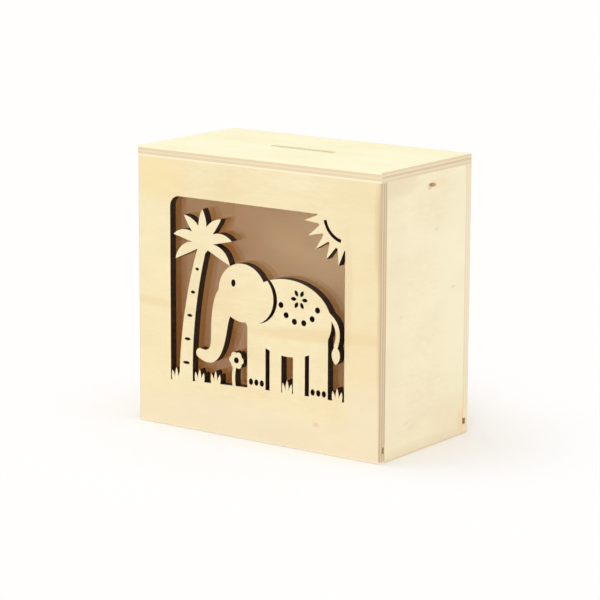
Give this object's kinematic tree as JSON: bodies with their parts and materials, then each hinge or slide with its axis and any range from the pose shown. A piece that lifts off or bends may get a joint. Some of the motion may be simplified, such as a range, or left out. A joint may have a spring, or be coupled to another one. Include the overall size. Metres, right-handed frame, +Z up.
{
  "type": "money box",
  "caption": "Plywood money box with a coin slot in its top, a fret-cut window backed by a clear pane, and a bottom that slides out.",
  "frame": {"origin": "on the floor under the middle of the box", "axes": "+Z up, the pierced front looks along -Y, the bottom draws out along -X"},
  "size_m": [0.146, 0.078, 0.14],
  "materials": {
    "plywood": "bare sanded plywood, laser-burnt in the cut-outs",
    "bottom_plywood": "bare sanded thin plywood",
    "strip_wood": "planed softwood",
    "clear_plastic": "clear polished sheet"
  },
  "bodies": {
    "case": {"top_board": "plywood", "front_panel": "plywood", "back_panel": "plywood", "left_side": "plywood", "right_side": "plywood", "window_pane": "clear_plastic", "pane_sill": "strip_wood", "left_bead": "strip_wood", "right_bead": "strip_wood"},
    "bottom": {"sliding_bottom": "bottom_plywood"}
  },
  "joints": [
    {"name": "bottom_slide", "type": "slide", "parent": "case", "child": "bottom", "axis": [-1, 0, 0], "range_m": [0, 0.14]}
  ]
}
